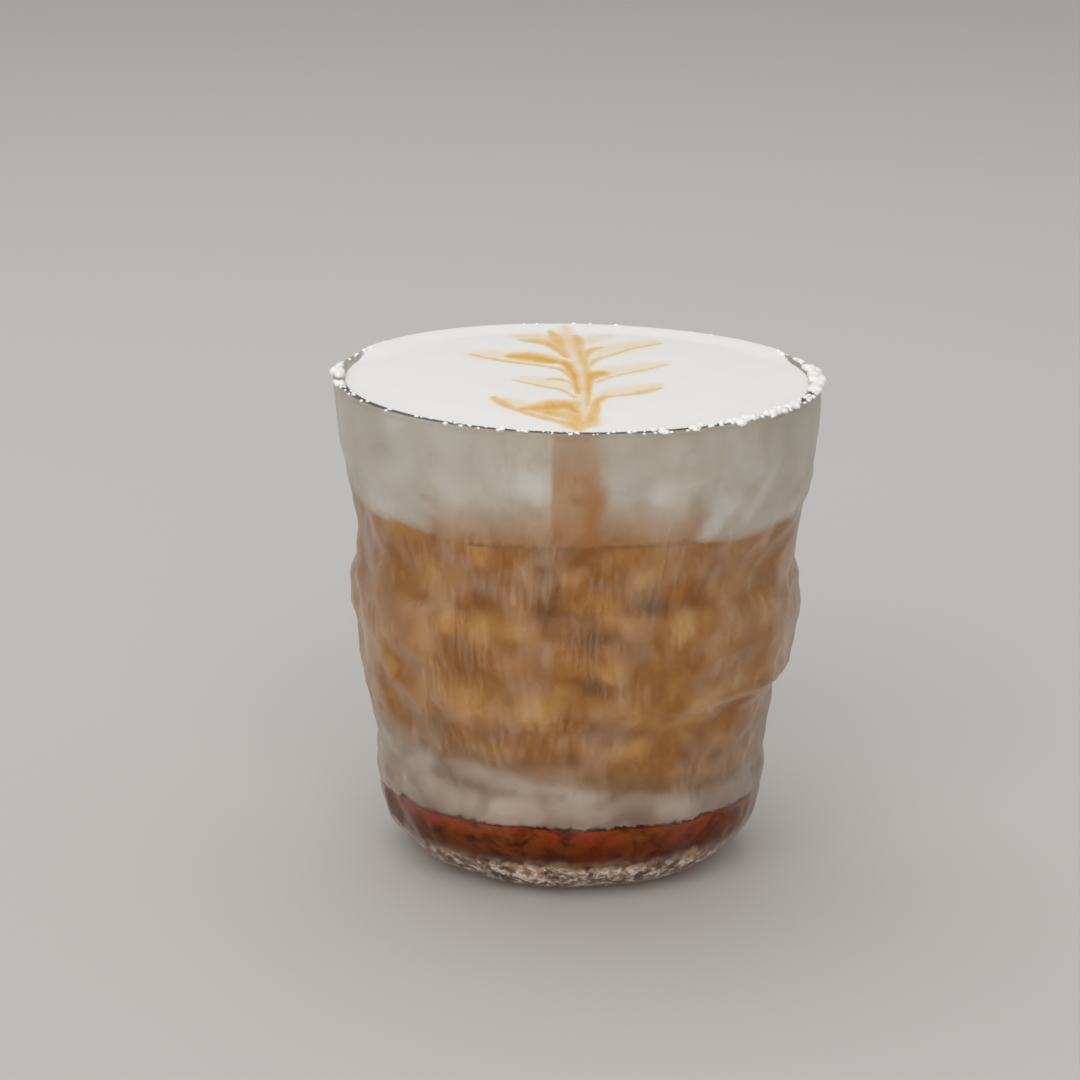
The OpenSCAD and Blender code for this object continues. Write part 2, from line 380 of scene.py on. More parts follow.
def milk_material(settings):
    # Cold milk: dense and even, warm where coffee has bled down into it, and edged with a thin
    # ragged line of syrup below. Painted light and shade lie over it, lighter where the hammered
    # wall gathers the light and shaded between.
    material, tree, place = new_material("cold_milk")
    gleam, drop, rise = (
        add(tree, "Attribute", out="Fac", attribute_name=name)
        for name in ("gleam", "drop", "rise"))
    cloud = add(tree, "TexNoise", {"Vector": place, "Scale": 1 / (6 * MM), "Detail": 3.0})
    # Painted light and shade: the wall's light patches and a soft cloud lift the shaded milk to its
    # lit colour.
    light = add(tree, "Math", {0: gleam, 1: 0.25, 2: cloud}, operation="MULTIPLY_ADD")
    light = add(tree, "MapRange", {0: light, 1: 0.35, 2: 0.65})
    bleed = add(tree, "MapRange", {0: drop, 2: 2.2 * MM, 3: 0.8, 4: 0.0},
                interpolation_type="SMOOTHSTEP")
    teeth = add(tree, "Mapping", {"Vector": place, "Scale": (1, 1, 0.15)})
    teeth = add(tree, "TexNoise", {"Vector": teeth, "Scale": 1 / (0.9 * MM), "Detail": 2.0})
    edge = add(tree, "MapRange", {0: teeth, 1: 0.35, 2: 0.65, 3: 0.2 * MM, 4: 1.0 * MM})
    line = add(tree, "Math", {0: rise, 1: edge}, operation="LESS_THAN")
    body = linear(MILK_SHADE, 1)
    for share, coat in ((light, (*settings.milk, 1)), (bleed, linear(COFFEE_EDGE, 1)),
                        (line, linear(SYRUP_DARK, 1))):
        body = add(tree, "Mix", {0: share, 6: body, 7: coat}, data_type="RGBA", out=2)
    return shaded(material, {
        "Base Color": body, "Roughness": 0.35, "IOR": 1.35, "Specular IOR Level": WETTED})


def coffee_material(settings):
    # Milky espresso over ice: brown, with soft gold patches where the hammered wall gathers the
    # light and darker ones between them, all of it faintly streaked downwards by the frost.
    material, tree, place = new_material("milky_espresso")
    gleam, rise = (add(tree, "Attribute", out="Fac", attribute_name=name)
                   for name in ("gleam", "rise"))
    cloud = add(tree, "TexNoise", {"Vector": place, "Scale": 1 / (5 * MM), "Detail": 4.0})
    cloud = add(tree, "MapRange", {0: cloud, 3: 0.2, 4: 0.8})
    hairs = add(tree, "Mapping", {"Vector": place, "Scale": (1, 1, 0.12)})
    hairs = add(tree, "TexNoise", {"Vector": hairs, "Scale": 1 / (0.7 * MM), "Detail": 2.0})
    light = cloud
    for mark, strength in ((gleam, 0.3), (hairs, 0.4)):
        light = add(tree, "Math", {0: mark, 1: strength, 2: light}, operation="MULTIPLY_ADD")
    body = add(tree, "ValToRGB", {0: light}, ramp=(
        (0.3, linear(COFFEE_DARK, 1)), (0.98, linear(COFFEE_LIGHT, 1)),
        (0.67, (*settings.coffee, 1))))
    pale = add(tree, "MapRange", {0: rise, 2: 5 * MM, 3: 0.75, 4: 0.0},
               interpolation_type="SMOOTHSTEP")
    body = add(tree, "Mix", {0: pale, 6: body, 7: linear(COFFEE_EDGE, 1)}, data_type="RGBA", out=2)
    return shaded(material, {
        "Base Color": body, "Roughness": 0.35, "IOR": 1.35, "Specular IOR Level": WETTED})


def feather_colour(tree, place, settings):
    """The foam's top: white, through peach and tan to deep caramel where the sauce lies thick."""
    stroke = add(tree, "Attribute", out="Fac", attribute_name="stroke")
    smear = add(tree, "Mapping", {"Vector": place, "Scale": (1, 0.35, 1)})
    smear = add(tree, "TexNoise", {"Vector": smear, "Scale": 1 / (1.6 * MM), "Detail": 3.0})
    smear = add(tree, "MapRange", {0: smear, 1: 0.3, 2: 0.7, 3: 0.7, 4: 1.25})
    stroke = add(tree, "Math", {0: stroke, 1: smear}, operation="MULTIPLY")
    return add(tree, "ValToRGB", {0: stroke}, ramp=(
        (0.0, (*settings.foam, 1)), (1.0, linear(CARAMEL_DEEP, 1)),
        (0.15, linear(CARAMEL_PEACH, 1)), (0.35, linear(CARAMEL_TAN, 1)),
        (0.65, (*settings.caramel, 1))))


def foam_side_colour(tree, place):
    """The foam behind the glass: cream, with painted bluish-white light patches, its haze, its
    streak and the line under both.
    """
    gleam, haze, streak, rise, front = (
        add(tree, "Attribute", out="Fac", attribute_name=name)
        for name in ("gleam", "haze", "streak", "rise", "front"))
    cloud = add(tree, "TexNoise", {"Vector": place, "Scale": 1 / (8 * MM), "Detail": 3.0})
    # Painted light: bluish-white patches where the wall gathers the light, over a soft cloud.
    light = add(tree, "Math", {0: gleam, 1: 0.4, 2: cloud}, operation="MULTIPLY_ADD")
    light = add(tree, "MapRange", {0: light, 1: 0.38, 2: 0.8})
    thin = add(tree, "MapRange", {0: cloud, 1: 0.35, 2: 0.65, 3: 0.75, 4: 1.1})
    streak = add(tree, "Math", {0: streak, 1: thin}, operation="MULTIPLY")
    teeth = add(tree, "TexNoise", {"Vector": place, "Scale": 1 / (0.7 * MM), "Detail": 2.0})
    edge = add(tree, "MapRange", {0: teeth, 1: 0.35, 2: 0.65, 3: 0.0, 4: 0.75 * MM})
    line = add(tree, "Math", {0: rise, 1: edge}, operation="LESS_THAN")
    line = add(tree, "Math", {0: line, 1: front}, operation="MULTIPLY")
    side = linear(FOAM_SIDE, 1)
    for share, coat in ((light, FOAM_LIGHT), (haze, FOAM_HAZE), (streak, STREAK_BROWN),
                        (line, FOAM_LINE)):
        side = add(tree, "Mix", {0: share, 6: side, 7: linear(coat, 1)}, data_type="RGBA", out=2)
    return side


def foam_material(settings):
    # Cold milk foam, drawn on with caramel sauce: matt and white above, cream against the wall,
    # with a tan haze where it stands on the coffee and a brown streak where espresso ran down the
    # front.
    material, tree, place = new_material("milk_foam_with_caramel")
    feather = feather_colour(tree, place, settings)
    wall = foam_side_colour(tree, place)
    side = add(tree, "Attribute", out="Fac", attribute_name="side")
    body = add(tree, "Mix", {0: side, 6: feather, 7: wall}, data_type="RGBA", out=2)
    # The foam's bubbles are under 0.1 mm, so a coarser grain stands for them.
    grain = add(tree, "TexNoise", {"Vector": place, "Scale": 1 / (0.5 * MM), "Detail": 3.0})
    bump = add(tree, "Bump", {"Strength": 0.12, "Distance": 0.08 * MM, "Height": grain})
    return shaded(material, {"Base Color": body, "Normal": bump, "Roughness": 0.6, "IOR": 1.35})


def fleck_material():
    # Flecks of dried milk foam: matt and white, with painted shade making them a little greyer in
    # their hollows.
    material, tree, place = new_material("dried_milk_foam")
    cloud = add(tree, "TexNoise", {"Vector": place, "Scale": 1 / (1.2 * MM)})
    body = add(tree, "Mix", {0: cloud, 6: linear(FLECK_SHADE, 1), 7: linear(FLECK_WHITE, 1)},
               data_type="RGBA", out=2)
    bump = add(tree, "Bump", {"Strength": 0.3, "Distance": 0.1 * MM, "Height": cloud})
    return shaded(material, {"Base Color": body, "Normal": bump, "Roughness": 0.6})


def floor_material(settings):
    # A painted board: pale, matt and even.
    material = new_material("matt_painted_board")[0]
    return shaded(material, {"Base Color": (*settings.floor, 1), "Roughness": 0.8})


# ---- the hammered wall, in millimetres and radians ----


def ease(t):
    """Runs from 0 to 1 as t does, softly at both ends."""
    t = np.clip(t, 0, 1)
    return (1 - np.cos(np.pi * t)) / 2


def eased(x, start, end):
    """Runs softly from 0 where x is at start to 1 where it is at end, rising or falling."""
    return ease((x - start) / (end - start))


def fraction(x):
    """What is left of x past a whole number."""
    return x - np.floor(x)


def wall_swell(share, column):
    """Swell of the wall at shares of its height, eased between the rows of WALL_SWELL."""
    rows = np.array(WALL_SWELL)
    i = np.clip(np.searchsorted(rows[:, 0], share) - 1, 0, len(rows) - 2)
    low, high = rows[i], rows[i + 1]
    t = eased(share, low[..., 0], high[..., 0])
    return low[..., column] + (high[..., column] - low[..., column]) * t


def wall_radius(z, angle):
    """Radius of the outer wall before its dents, above the heel."""
    share = np.clip((z - HEEL_HEIGHT) / (GLASS_HEIGHT - HEEL_HEIGHT), 0, 1)
    left, right = wall_swell(share, 1), wall_swell(share, 2)
    swell = left + (right - left) * (1 + np.cos(angle)) / 2
    return HEEL_RADIUS + (LIP_RADIUS - HEEL_RADIUS) * share + swell


# Dents are placed by their height along the wall, which runs on below 0 round the heel.
HEEL_ARC = math.pi / 2 * (HEEL_HEIGHT + HEEL_RADIUS - FOOT_RADIUS) / 2
WALL_LOW = HEEL_HEIGHT - HEEL_ARC

# Long slanting folds, most of them at the front right: angle in degrees, height along the wall,
# half length and half width in mm, slant in degrees and depth in mm.
FOLDS = (
    (-28, 70, 11, 3.0, 16, 0.45), (-24, 61, 9, 2.6, 20, 0.45), (-56, 75, 7, 2.8, 36, 0.35),
    (-45, 33, 10, 2.8, 20, 0.45), (-61, 32, 8, 2.6, 27, 0.35), (-26, 27, 9, 2.6, 14, 0.45),
    (-150, 70, 6, 2.4, -50, 0.3), (25, 48, 10, 3.0, 25, 0.4), (60, 66, 9, 2.8, -20, 0.35),
)
# How far the dents' radii differ, as a share of the average one.
DENT_SPREAD = 0.55
RIPPLE_COUNT = 620
RIPPLE_RADIUS = 3.6
RIPPLE_SPREAD = 0.9
# From one dent to the next, its angle and its height go on by these shares of their whole range,
# which never line the dents up. Its size, its length and its slant go on by the others.
TURN_STEP, RISE_STEP = 0.7548776662, 0.5698402910
SIZE_STEP, LENGTH_STEP, SLANT_STEP = 0.6180339887, 0.31, 0.4656
# The higher this is, the less one dent deepens another where they meet.
UNION_POWER = 4
# A ridge stands where the dents together are shallower than this.
RIDGE_DEPTH = 0.45
# How far up from the foot the dents fade in.
FOOT_BAND = 2.0
THINNEST_WALL = 0.9
# How softly the wall is held off from the bore.
HOLD_OFF = 0.3


def scattered(count, radius, spread, depth):
    """Rows like those of FOLDS for round dents, spread evenly over the wall without a repeat."""
    k = np.arange(count)
    size = radius * (1 - spread / 2 + spread * fraction(k * k * SIZE_STEP))
    low, high = WALL_LOW + radius / 2, GLASS_HEIGHT - LIP_BAND
    return np.stack([
        360 * fraction(k * TURN_STEP), low + (high - low) * fraction(k * RISE_STEP),
        size * (1 + spread / 2 * fraction(k * LENGTH_STEP)), size, 180 * fraction(k * SLANT_STEP),
        np.full(count, depth),
    ], axis=1)


def spot_reach(angle, along, radius, row):
    """Square of how far points lie from a slanting oval's middle, where 1 is its edge."""
    middle, height, half_length, half_width, slant = row[:5]
    turn = (angle - math.radians(middle) + np.pi) % (2 * np.pi) - np.pi
    across, up = radius * turn, along - height
    tilt = math.radians(slant)
    length = across * math.cos(tilt) + up * math.sin(tilt)
    width = up * math.cos(tilt) - across * math.sin(tilt)
    return (length / half_length) ** 2 + (width / half_width) ** 2


def around(radius, angle, z):
    """Points in metres from their distance from the axis, angle and height."""
    return np.stack([radius * np.cos(angle), radius * np.sin(angle), z], axis=1) * MM


def dent_depth(angle, along, radius, rows):
    """Depth of the dents at points of the wall, run softly into each other where they meet."""
    order = np.argsort(along)
    angle, along, radius = angle[order], along[order], radius[order]
    total = np.zeros(len(order))
    for row in rows:
        longest = max(row[2], row[3])
        part = slice(*np.searchsorted(along, (row[1] - longest, row[1] + longest)))
        gap = np.minimum(1, spot_reach(angle[part], along[part], radius[part], row))
        total[part] += (row[5] * (1 - gap) ** 2) ** UNION_POWER
    depth = np.empty(len(order))
    depth[order] = total ** (1 / UNION_POWER)
    return depth


def hammered(coordinates, settings):
    """The plain outer wall's points moved to the hammered one, and how near a ridge each lies."""
    x, y, z = coordinates.T / MM
    angle = np.arctan2(y, x)
    bend = np.arccos(np.clip(1 - z / HEEL_HEIGHT, 0, 1))
    heel = z < HEEL_HEIGHT
    top = wall_radius(np.maximum(z, HEEL_HEIGHT), angle)
    radius = np.where(heel, FOOT_RADIUS + (top - FOOT_RADIUS) * np.sin(bend), top)
    along = np.where(heel, HEEL_HEIGHT - HEEL_ARC * (1 - bend / (np.pi / 2)), z)
    band = GLASS_HEIGHT - LIP_BAND
    fade = eased(along, band, band - LIP_BAND) * eased(along, WALL_LOW, WALL_LOW + FOOT_BAND)
    large = scattered(
        settings.dent_count, settings.dent_radius, DENT_SPREAD, settings.dent_depth)
    ripples = scattered(RIPPLE_COUNT, RIPPLE_RADIUS, RIPPLE_SPREAD, settings.ripple_depth)
    depth = sum(dent_depth(angle, along, radius, rows) for rows in (large, ripples, FOLDS))
    radius = radius - depth * fade
    # No dent comes nearer to the drink than the thinnest wall.
    spare = radius - bore_radius(z) - THINNEST_WALL
    radius += np.where(z > FLOOR_LEVEL, (np.hypot(spare, HOLD_OFF) - spare) / 2, 0)
    return around(radius, angle, z), eased(depth, RIDGE_DEPTH, 0) * fade


def cad_tree(node):
    """A search tree over a CAD node's mesh."""
    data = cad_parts[node].data
    return BVHTree.FromPolygons([v.co for v in data.vertices], [p.vertices for p in data.polygons])


def measured_bore():
    """Heights inside the glass and the bore's radius at each, found on the CAD model."""
    tree = cad_tree("tumbler")
    heights = np.linspace(FLOOR_LEVEL + 0.02, GLASS_HEIGHT - LIP_ROUND, 160)
    hits = [tree.ray_cast(Vector((0, 0, z * MM)), Vector((1, 0.001, 0)))[0] for z in heights]
    return heights, np.array([hit.xy.length / MM for hit in hits])


BORE = measured_bore()


def bore_radius(z):
    """Radius of the glass's inside at a height or at each of several."""
    return np.interp(z, *BORE)


# ---- making pieces ----

SECTORS = 12


def spun(profile, steps):
    """A bmesh of a profile of (radius, height) turned once round Z, closed at its poles.

    One sector is spun and then repeated, which is far quicker than a full spin.
    """
    bm = bmesh.new()
    points = [bm.verts.new((r * MM, 0, z * MM)) for r, z in profile]
    edges = [bm.edges.new(pair) for pair in zip(points, points[1:])]
    sector = 2 * math.pi / SECTORS
    bmesh.ops.spin(bm, geom=points + edges, cent=(0, 0, 0), axis=(0, 0, 1),
                   angle=sector, steps=steps // SECTORS)
    bmesh.ops.spin(bm, geom=bm.verts[:] + bm.edges[:] + bm.faces[:], cent=(0, 0, 0),
                   axis=(0, 0, 1), angle=2 * math.pi - sector, steps=SECTORS - 1,
                   use_duplicate=True)
    bmesh.ops.remove_doubles(bm, verts=bm.verts, dist=0.001 * MM)
    bmesh.ops.recalc_face_normals(bm, faces=bm.faces)
    return bm


def piece(bm, name, material, replaced=None):
    """Makes a piece of a bmesh: smooth, riding on the root and material."""
    mesh = bpy.data.meshes.new(name)
    bm.to_mesh(mesh)
    bm.free()
    mesh.polygons.foreach_set("use_smooth", [True] * len(mesh.polygons))
    mesh.materials.append(material)
    thing = bpy.data.objects.new(name, mesh)
    bpy.context.scene.collection.objects.link(thing)
    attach(thing, "root")
    if replaced:
        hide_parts(replaced)
    return thing


def points_of(mesh):
    """A mesh's points as an array with a row for each."""
    flat = np.empty(len(mesh.vertices) * 3)
    mesh.vertices.foreach_get("co", flat)
    return flat.reshape(-1, 3)


def put_points(mesh, points):
    mesh.vertices.foreach_set("co", points.ravel())
    mesh.update()


def put_attribute(mesh, name, values):
    """Stores one number for each point, for a material to read."""
    mesh.attributes.new(name, "FLOAT", "POINT").data.foreach_set("value", values)


def spaced(low, high, step):
    """Even steps from low to high, no longer than step, with both ends."""
    return np.linspace(low, high, max(2, math.ceil((high - low) / step) + 1))


# ---- the tumbler ----

TUMBLER_STEPS = 360
# Heights between which the frost turns from the heel's into the wall's, the syrup's amber shows in
# the heel, and white clumps gather, partly frost and partly painted glints, with a painted
# red-brown refraction between them.
EVEN_FROST = (11, 18)
AMBER_HEEL = (13, 10)
CLUMPED_HEEL = (9, 5)
# Between which shares of the lip's radius, along Y, its inner edge is painted darker.
DARKENED_LIP = (-0.025, -0.275)
# The darkening ends this far in from the lip's outer edge, as a share of the lip's wall, and this
# far below the lip's round.
DARK_INSET = 0.2
DARK_DROP = 0.5
# A point this near to a height counts as at it.
SNAP = 0.01


def tumbler_profile():
    """The glass's section from the middle of its foot, up round the lip and down to its floor."""
    foot = [(r, 0) for r in np.linspace(0, FOOT_RADIUS, 12, endpoint=False)]
    heel = [
        (FOOT_RADIUS + (HEEL_RADIUS - FOOT_RADIUS) * math.sin(a), HEEL_HEIGHT * (1 - math.cos(a)))
        for a in np.linspace(0, math.pi / 2, 26, endpoint=False)
    ]
    lip_start = GLASS_HEIGHT - LIP_ROUND
    side = [(float(wall_radius(z, 0.0)), z) for z in spaced(HEEL_HEIGHT, lip_start, 0.5)]
    lip_inner = LIP_RADIUS - LIP_WALL
    quarter = np.linspace(0, math.pi / 2, 6)
    lip_out = [(LIP_RADIUS - LIP_ROUND * (1 - math.cos(a)), lip_start + LIP_ROUND * math.sin(a))
               for a in quarter[1:]]
    lip_in = [(lip_inner + LIP_ROUND * (1 - math.sin(a)), lip_start + LIP_ROUND * math.cos(a))
              for a in quarter]
    bore = [(bore_radius(z), z) for z in spaced(FLOOR_LEVEL, lip_start, 1.5)[::-1][1:]]
    floor = [(r, FLOOR_LEVEL) for r in np.linspace(bore[-1][0], 0, 10)[1:]]
    return foot + heel + side + lip_out + lip_in + bore + floor


# ---- the layers of the drink ----


def wave(angle, turns, shift):
    """A wave round the wall that doesn't look even, from -1.5 to 1.5."""
    return np.sin(turns * angle + math.radians(shift)) + 0.5 * np.sin(2 * turns * angle)


# The levels between the layers, at angles and at shares of the way out to the wall. The milk is
# highest and lowest at these two angles.
HUMP_ANGLE = math.radians(-140)
DIP_ANGLE = math.radians(-42)
FOAM_WAVE = 0.15


def floor_level(angle, t):
    return np.full_like(angle, FLOOR_LEVEL)


def syrup_level(angle, t):
    return SYRUP_TOP + LAYER_WAVE * t * t * wave(angle, 3, 20) / 2


def milk_level(angle, t):
    settings = bpy.context.scene.latte_drink
    hump = settings.milk_swell * np.maximum(0, np.cos(angle - HUMP_ANGLE)) ** 2
    dip = settings.milk_dip * np.maximum(0, np.cos(angle - DIP_ANGLE)) ** 2
    return MILK_TOP + t * t * (LAYER_WAVE * wave(angle, 4, 70) / 2 + hump - dip)


def coffee_level(angle, t):
    return COFFEE_TOP + LAYER_WAVE * t * t * wave(angle, 5, 130)


def foam_level(angle, t):
    edge = FOAM_WAVE * t * t * np.sin(3 * angle + math.radians(40))
    return FOAM_EDGE + FOAM_DOME * (1 - t ** 4) + edge


# Painted light and shade on the drink, where the hammered wall gathers the light and where it
# leaves
# shade: angle in degrees, height, half length and half width in mm, slant in degrees, and how
# light, where a minus is dark.
GLEAMS = (
    (-134, 57, 4.5, 3.5, 20, 0.5), (-116, 62, 2.5, 2.5, 0, 0.7), (-91, 59.5, 2.2, 2, 0, 0.9),
    (-127, 51, 3, 2.2, 90, 0.5), (-117, 49, 3.5, 2.6, 80, 0.7), (-139, 48, 5, 3, 90, 0.3),
    (-153, 38, 2.4, 2, 0, 1.1), (-107, 51.5, 4.5, 3, 90, 0.3), (-134, 43, 5, 2.5, 90, 0.3),
    (-85, 54.5, 5.5, 2.2, -15, 0.5), (-76, 50, 5, 2.2, -25, 0.7), (-59, 50, 3.4, 2.4, 90, 0.9),
    (-70, 59.5, 4.5, 2, 25, 0.6), (-85, 43.5, 5.5, 1.8, -20, 0.8), (-120, 35.5, 5, 3.2, 10, 0.6),
    (-99, 36.5, 4.5, 3, 30, 0.9), (-86, 36, 2.4, 2, 0, 0.4), (-72, 34.5, 6, 2.4, -25, 0.4),
    (-74, 28, 5.5, 2.2, 8, 0.6), (-51, 34.5, 9, 1.8, 25, 0.7), (-42, 55, 3.4, 2, 90, 0.5),
    (-20, 54, 3.6, 2, 90, 0.5), (-26, 49.5, 4, 3, 0, 0.4),
    (-69, 54.5, 3, 3, 0, -0.9), (-56, 55, 3.5, 2.5, 90, -0.6), (-80, 48.5, 5, 1.8, 0, -0.7),
    (-70, 46, 3, 2.5, 0, -0.6), (-122, 44, 3.5, 3.5, 0, -0.6), (-115, 56, 4, 3, 90, -0.5),
    (-133, 29, 4.5, 3, 0, -0.8), (-111, 30.5, 7, 2.4, -8, -0.5), (-99, 55.5, 5, 2.8, 90, -0.4),
    (-83, 40, 6, 1.6, -20, -0.6), (-79, 32, 5, 3.4, 0, -0.6), (-89, 26, 10, 2, 0, -0.7),
    (-51, 26, 3.5, 3, 0, -0.6), (-31, 26, 9, 2, 12, -0.6), (-45, 42, 9, 2.2, 18, -0.5),
    (-51, 61.5, 5, 3.5, 60, -0.5),
    (-149, 71, 2.6, 2, 0, 0.5), (-144, 66.5, 6, 3.2, 0, 0.7), (-122, 74, 3, 3, 0, 0.5),
    (-99, 75.5, 4, 3.5, 0, 0.6), (-124, 67.5, 2.2, 2, 0, 0.8), (-81, 73, 3, 1.4, 0, 0.6),
    (-71, 74, 3, 1.6, 0, 0.5), (-54, 65.5, 4, 2.2, 0, 0.5), (-130, 70.5, 5, 1.8, 90, -0.5),
    (-105, 70, 4, 3, 0, -0.4), (-60, 76, 8, 2, 38, -0.3), (-30, 69, 9, 2.2, 18, -0.4),
    (-147, 20, 3, 2.4, 0, 0.6), (-133, 18, 5, 2, -20, 0.8), (-85, 20.5, 3, 1.4, 0, 1.1),
    (-94, 21.5, 7, 2, 0, 0.6), (-105, 17, 9, 1.6, -6, 0.5), (-115, 20, 4, 1.6, -10, -0.7),
    (-134, 22.5, 2.5, 2, 0, -0.3),
    (-38, 72, 7, 0.9, 55, 0.6), (-46, 69, 8, 1.0, 50, -0.5), (-30, 67, 8, 1.0, 60, 0.6),
    (-25, 72, 7, 0.9, 62, -0.5), (-155, 66, 6, 1.0, 80, 0.6), (-52, 61, 5, 0.8, 40, 0.5),
)
# Where the listed patches end and scattered ones take over, in degrees.
GLEAM_ENDS = (-8, 198)
GLEAM_SCATTER = 90


def gleam_rows(seed):
    """The listed patches at the front, and scattered ones round the sides and the back."""
    chance = random.Random(seed)
    rows = list(GLEAMS)
    for _ in range(GLEAM_SCATTER):
        length = chance.uniform(2.5, 6)
        rows.append((chance.uniform(*GLEAM_ENDS), chance.uniform(17, 77), length,
                     length * chance.uniform(0.4, 0.8), chance.uniform(-90, 90),
                     chance.choice((-0.6, -0.4, 0.4, 0.6, 0.8))))
    return rows


# How steeply a patch falls off towards its edge.
GLEAM_FALL = 1.6

# The darker column of coffee that hangs at the front below the streak in the foam: how dark it is,
# where its left and right edges begin and end along X, and the heights that it fades in between.
COLUMN_DARK = 0.4
COLUMN_LEFT = (-8, -5)
COLUMN_RIGHT = (6, 2)
COLUMN_RISE = (20, 40)


def coffee_column(angle, radius, z):
    """How much the column darkens points of the drink, as a minus."""
    x, y = radius * np.cos(angle), radius * np.sin(angle)
    wide = eased(x, *COLUMN_LEFT) * eased(x, *COLUMN_RIGHT) * (y < 0)
    return -COLUMN_DARK * wide * eased(z, *COLUMN_RISE)


# The height of the faces on a layer's side, and how many rings its floor has.
LAYER_RISE = 0.6
FLOOR_RINGS = 8
# An edge between faces that turn by more than this, in radians, is shaded as a sharp one.
SHARP_TURN = 1


def layer(name, node, material, low, high, low_level, high_level, steps=360, across=8, crowd=0.0):
    """A layer of the drink in place of its node, between two levels, reaching into the wall.

    It starts as a drum of radius 1 mm, whose points then spread out to the wall and up or down to
    the levels. With crowd they also draw together at the front and the back. It stores for each
    point how far it stands above the layer's floor and below its top, in metres, and how the wall
    lights it.
    """
    floor = [(r, low) for r in np.linspace(0, 1, FLOOR_RINGS, endpoint=False)]
    side = [(1, z) for z in spaced(low, high, LAYER_RISE)]
    top = [(r, high) for r in np.linspace(0, 1, across, endpoint=False)]
    bm = spun(floor + side + top[::-1], steps)
    for edge in bm.edges:
        edge.smooth = edge.calc_face_angle(0) < SHARP_TURN
    thing = piece(bm, name, material, node)
    x, y, z = points_of(thing.data).T / MM
    angle, t = np.arctan2(y, x), np.hypot(x, y)
    angle += crowd * np.sin(2 * angle)
    share = (z - low) / (high - low)
    bottom, ceiling = low_level(angle, t), high_level(angle, t)
    z = bottom + (ceiling - bottom) * share
    radius = t * (bore_radius(z) + WALL_BITE)
    put_points(thing.data, around(radius, angle, z))
    put_attribute(thing.data, "rise", (z - bottom) * MM)
    put_attribute(thing.data, "drop", (ceiling - z) * MM)
    # Painted light and shade from the hammered wall, with the darker column of coffee added.
    gleam = np.zeros(len(z))
    for row in gleam_rows(bpy.context.scene.latte_drink.gleam_seed):
        gleam += row[5] * np.exp(-spot_reach(angle, z, radius, row) ** GLEAM_FALL)
    put_attribute(thing.data, "gleam", gleam + coffee_column(angle, radius, z))
    return thing


# ---- the foam and its feather ----

# The feather's crisp strokes on the foam, in millimetres from its middle: how deep the caramel
# lies, then x, y and half width at each bend.
STROKES = (
    (0.60, ((-4.5, 35.5, 0.5), (-3.5, 27, 0.8), (-2.8, 20, 0.7), (-1.8, 13.5, 0.5))),
    (0.70, ((-9.5, 26, 0.6), (-7.5, 25, 1.3), (-5.5, 23, 1.1), (-4, 20, 0.8), (-1.8, 11.5, 0.5))),
    (1.00, ((-12, 11.5, 0.5), (-10, 12, 1.6), (-7.5, 10.5, 2.0), (-5, 8.5, 1.5), (-2.2, 6.5, 0.8),
            (-1, 1.5, 0.7), (-0.2, -6, 0.6), (0.2, -16, 0.4))),
    (0.50, ((-18.5, 13, 0.3), (-13, 7.8, 0.5), (-6, 4.4, 0.6), (-2.5, 1, 0.5), (-0.5, -7, 0.4))),
    (0.42, ((-5, -6, 0.4), (-3, -6, 0.6), (-1, -9, 0.4), (-0.2, -13, 0.3))),
    (0.38, ((-11, -6.5, 0.3), (-6.5, -10.8, 0.5), (-3, -13.3, 0.5), (-0.5, -19, 0.3))),
    (0.52, ((-14, -19, 0.5), (-12.5, -23, 0.7), (-10, -27.3, 0.6), (-6, -31.4, 0.7),
            (-2.3, -34.6, 0.7), (0, -37.2, 0.9))),
    (0.95, ((-9, -26.5, 0.5), (-5.2, -25.2, 1.8), (-2.8, -23.8, 2.1), (-1.2, -25.4, 1.2),
            (-0.2, -28, 0.5))),
    (0.62, ((-6.5, -28, 0.5), (-3.5, -29, 1.3), (-1.2, -30.3, 1.5), (0.2, -33.4, 1.3))),
    (0.60, ((-0.1, 31.5, 0.5), (0.2, 26, 0.8), (0.1, 20, 0.8), (0.7, 11, 0.6), (1.3, 5, 0.5))),
    (0.60, ((4.7, 20.3, 0.3), (3, 18.5, 0.7), (1.7, 14, 0.5), (1.3, 8, 0.5), (1.6, -2, 0.5))),
    (0.42, ((15, 25, 0.3), (10.5, 20, 0.4), (6, 13.6, 0.4), (3.5, 10, 0.6), (2.1, 4.5, 0.4))),
    (0.34, ((15.5, 6.5, 0.3), (11, 1.5, 0.4), (6.2, -3, 0.4), (3.3, -7.5, 0.6))),
    (0.92, ((4.5, 0, 0.4), (3.4, -1.2, 1.5), (2.4, -3, 1.0), (1.8, -8, 0.6), (1.6, -16, 0.4),
            (1.4, -24, 0.3))),
    (0.50, ((14, -10.8, 0.3), (11.5, -13.6, 0.8), (9, -16, 0.5), (6, -17.4, 0.4), (4, -18.5, 0.6),
            (3.1, -22, 0.6))),
    (0.72, ((3.6, -18.8, 0.3), (3, -23, 0.5), (2.8, -27.5, 0.6), (2, -32, 0.9), (0.8, -34.4, 1.5),
            (-0.4, -35.2, 1.6))),
)
